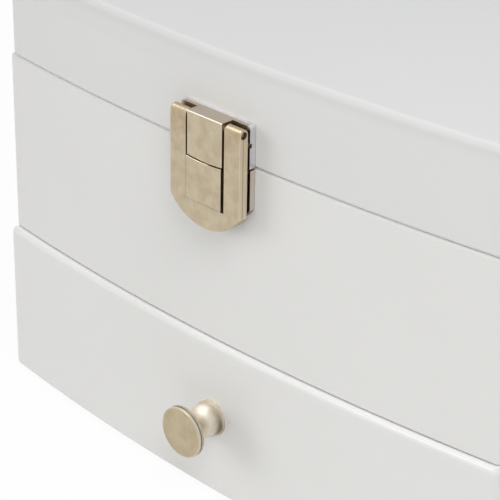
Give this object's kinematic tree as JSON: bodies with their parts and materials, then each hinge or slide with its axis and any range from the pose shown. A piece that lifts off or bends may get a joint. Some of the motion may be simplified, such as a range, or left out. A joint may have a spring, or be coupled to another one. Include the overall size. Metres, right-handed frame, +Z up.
{
  "type": "jewelry box",
  "caption": "White bow-fronted jewelry box with a hinged mirror lid, a snap latch, a velvet-lined compartment with ring rolls and a drawer with a round knob.",
  "frame": {"origin": "on the standing surface, under the middle of the closed box's outline from the knob to the hinges", "axes": "+X to the right along the front, +Y from the front to the back, +Z up"},
  "size_m": [0.1982, 0.1686, 0.1407],
  "materials": {
    "white_lacquer": "satin white lacquer on fibreboard",
    "velvet": "short-pile velvet",
    "champagne_metal": "satin champagne plating on a die casting",
    "screw_steel": "plated steel",
    "mirror": "silvered float glass",
    "felt": "pressed felt"
  },
  "bodies": {
    "case": {"case_front": "white_lacquer", "case_left_side": "white_lacquer", "case_right_side": "white_lacquer", "case_back": "white_lacquer", "case_base": "white_lacquer", "shelf": "white_lacquer", "felt_feet": "felt", "floor_lining": "velvet", "wall_lining_left": "velvet", "wall_lining_right": "velvet", "wall_lining_front": "velvet", "wall_lining_back": "velvet", "long_divider": "velvet", "cross_divider_front": "velvet", "cross_divider_rear": "velvet", "ring_bed": "velvet", "ring_rolls": "velvet", "hinge_left_case_leaf": "champagne_metal", "hinge_right_case_leaf": "champagne_metal", "hinge_left_pin": "screw_steel", "hinge_right_pin": "screw_steel", "case_hinge_screws": "screw_steel", "latch_keeper": "champagne_metal", "keeper_screws": "screw_steel"},
    "lid": {"lid_panel": "white_lacquer", "lid_front_rail": "white_lacquer", "lid_left_rail": "white_lacquer", "lid_right_rail": "white_lacquer", "lid_back_rail": "white_lacquer", "lid_lining": "velvet", "lid_mirror": "mirror", "hinge_left_lid_leaf": "champagne_metal", "hinge_right_lid_leaf": "champagne_metal", "lid_hinge_screws": "screw_steel", "latch_plate": "champagne_metal", "latch_plate_screws": "screw_steel", "latch_pin": "screw_steel"},
    "latch_flap": {"latch_flap": "champagne_metal"},
    "drawer": {"drawer_front": "white_lacquer", "drawer_left_side": "white_lacquer", "drawer_right_side": "white_lacquer", "drawer_back": "white_lacquer", "drawer_bottom": "white_lacquer", "drawer_floor_lining": "velvet", "drawer_lining_left": "velvet", "drawer_lining_right": "velvet", "drawer_lining_front": "velvet", "drawer_lining_back": "velvet", "drawer_divider_left": "velvet", "drawer_divider_right": "velvet", "drawer_knob": "champagne_metal", "knob_screw": "screw_steel"}
  },
  "joints": [
    {"name": "lid_hinge", "type": "hinge", "parent": "case", "child": "lid", "pos_m": [0, 0.0808, 0.111], "axis": [-1, 0, 0], "range_deg": [0, 98]},
    {"name": "latch_swing", "type": "hinge", "parent": "lid", "child": "latch_flap", "pos_m": [0, -0.07435, 0.12195], "axis": [-1, 0, 0], "range_deg": [0, 150]},
    {"name": "drawer_slide", "type": "slide", "parent": "case", "child": "drawer", "axis": [0, -1, 0], "range_m": [0, 0.1]}
  ]
}
